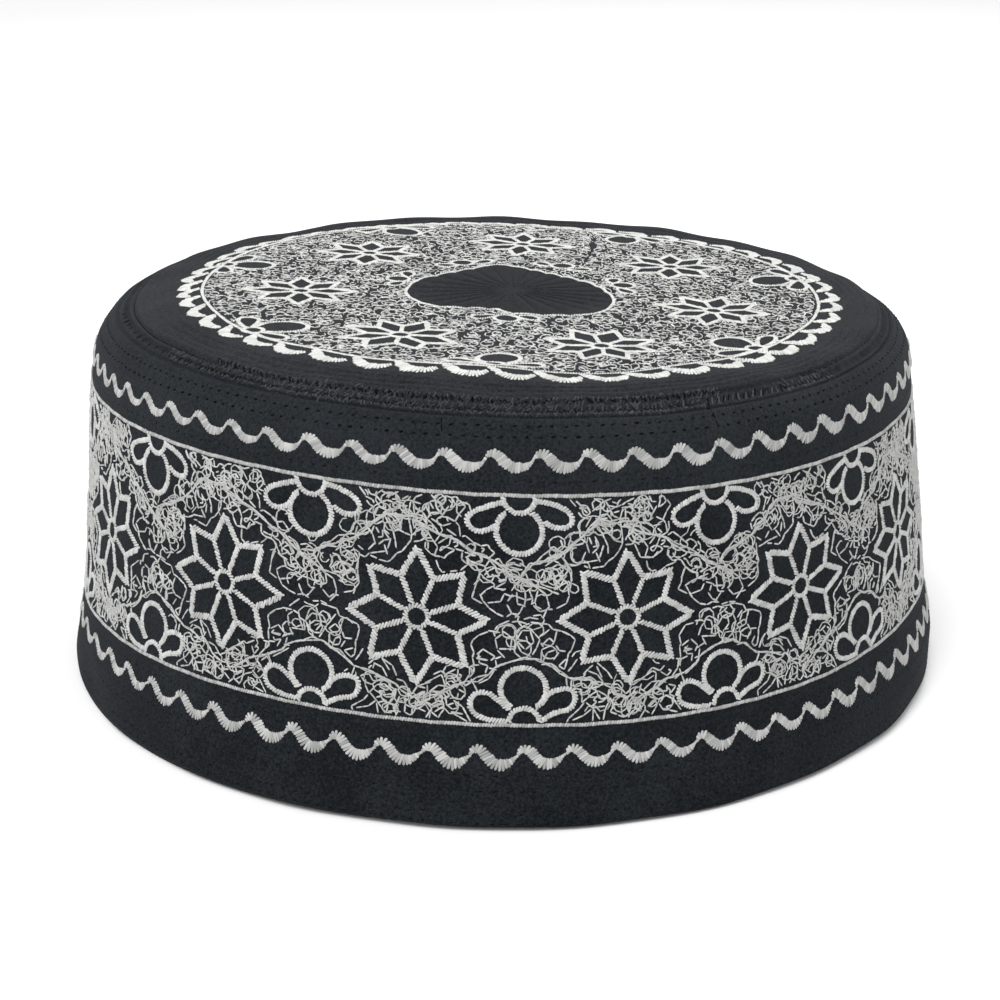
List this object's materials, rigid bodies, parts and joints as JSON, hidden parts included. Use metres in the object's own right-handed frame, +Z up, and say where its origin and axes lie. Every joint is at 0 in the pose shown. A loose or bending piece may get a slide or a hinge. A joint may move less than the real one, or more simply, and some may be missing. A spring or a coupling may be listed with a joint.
{
  "type": "kufi",
  "caption": "Round drum-shaped black cloth cap with a flat crown and upright side band, worn on the head; embroidered with white stars, petals and waves.",
  "frame": {"origin": "middle of the cap's footprint, on the surface that its rim rests on", "axes": "+Z up through the crown, -Y the front that the picture shows, +X to the right as seen from the front"},
  "size_m": [0.1892, 0.1911, 0.0805],
  "materials": {
    "band_cloth": "matt black plain weave, densely embroidered with light grey thread",
    "crown_cloth": "matt black plain weave with a slight sheen, densely embroidered with white thread"
  },
  "bodies": {
    "root": {"side_band": "band_cloth", "crown": "crown_cloth"}
  },
  "joints": []
}
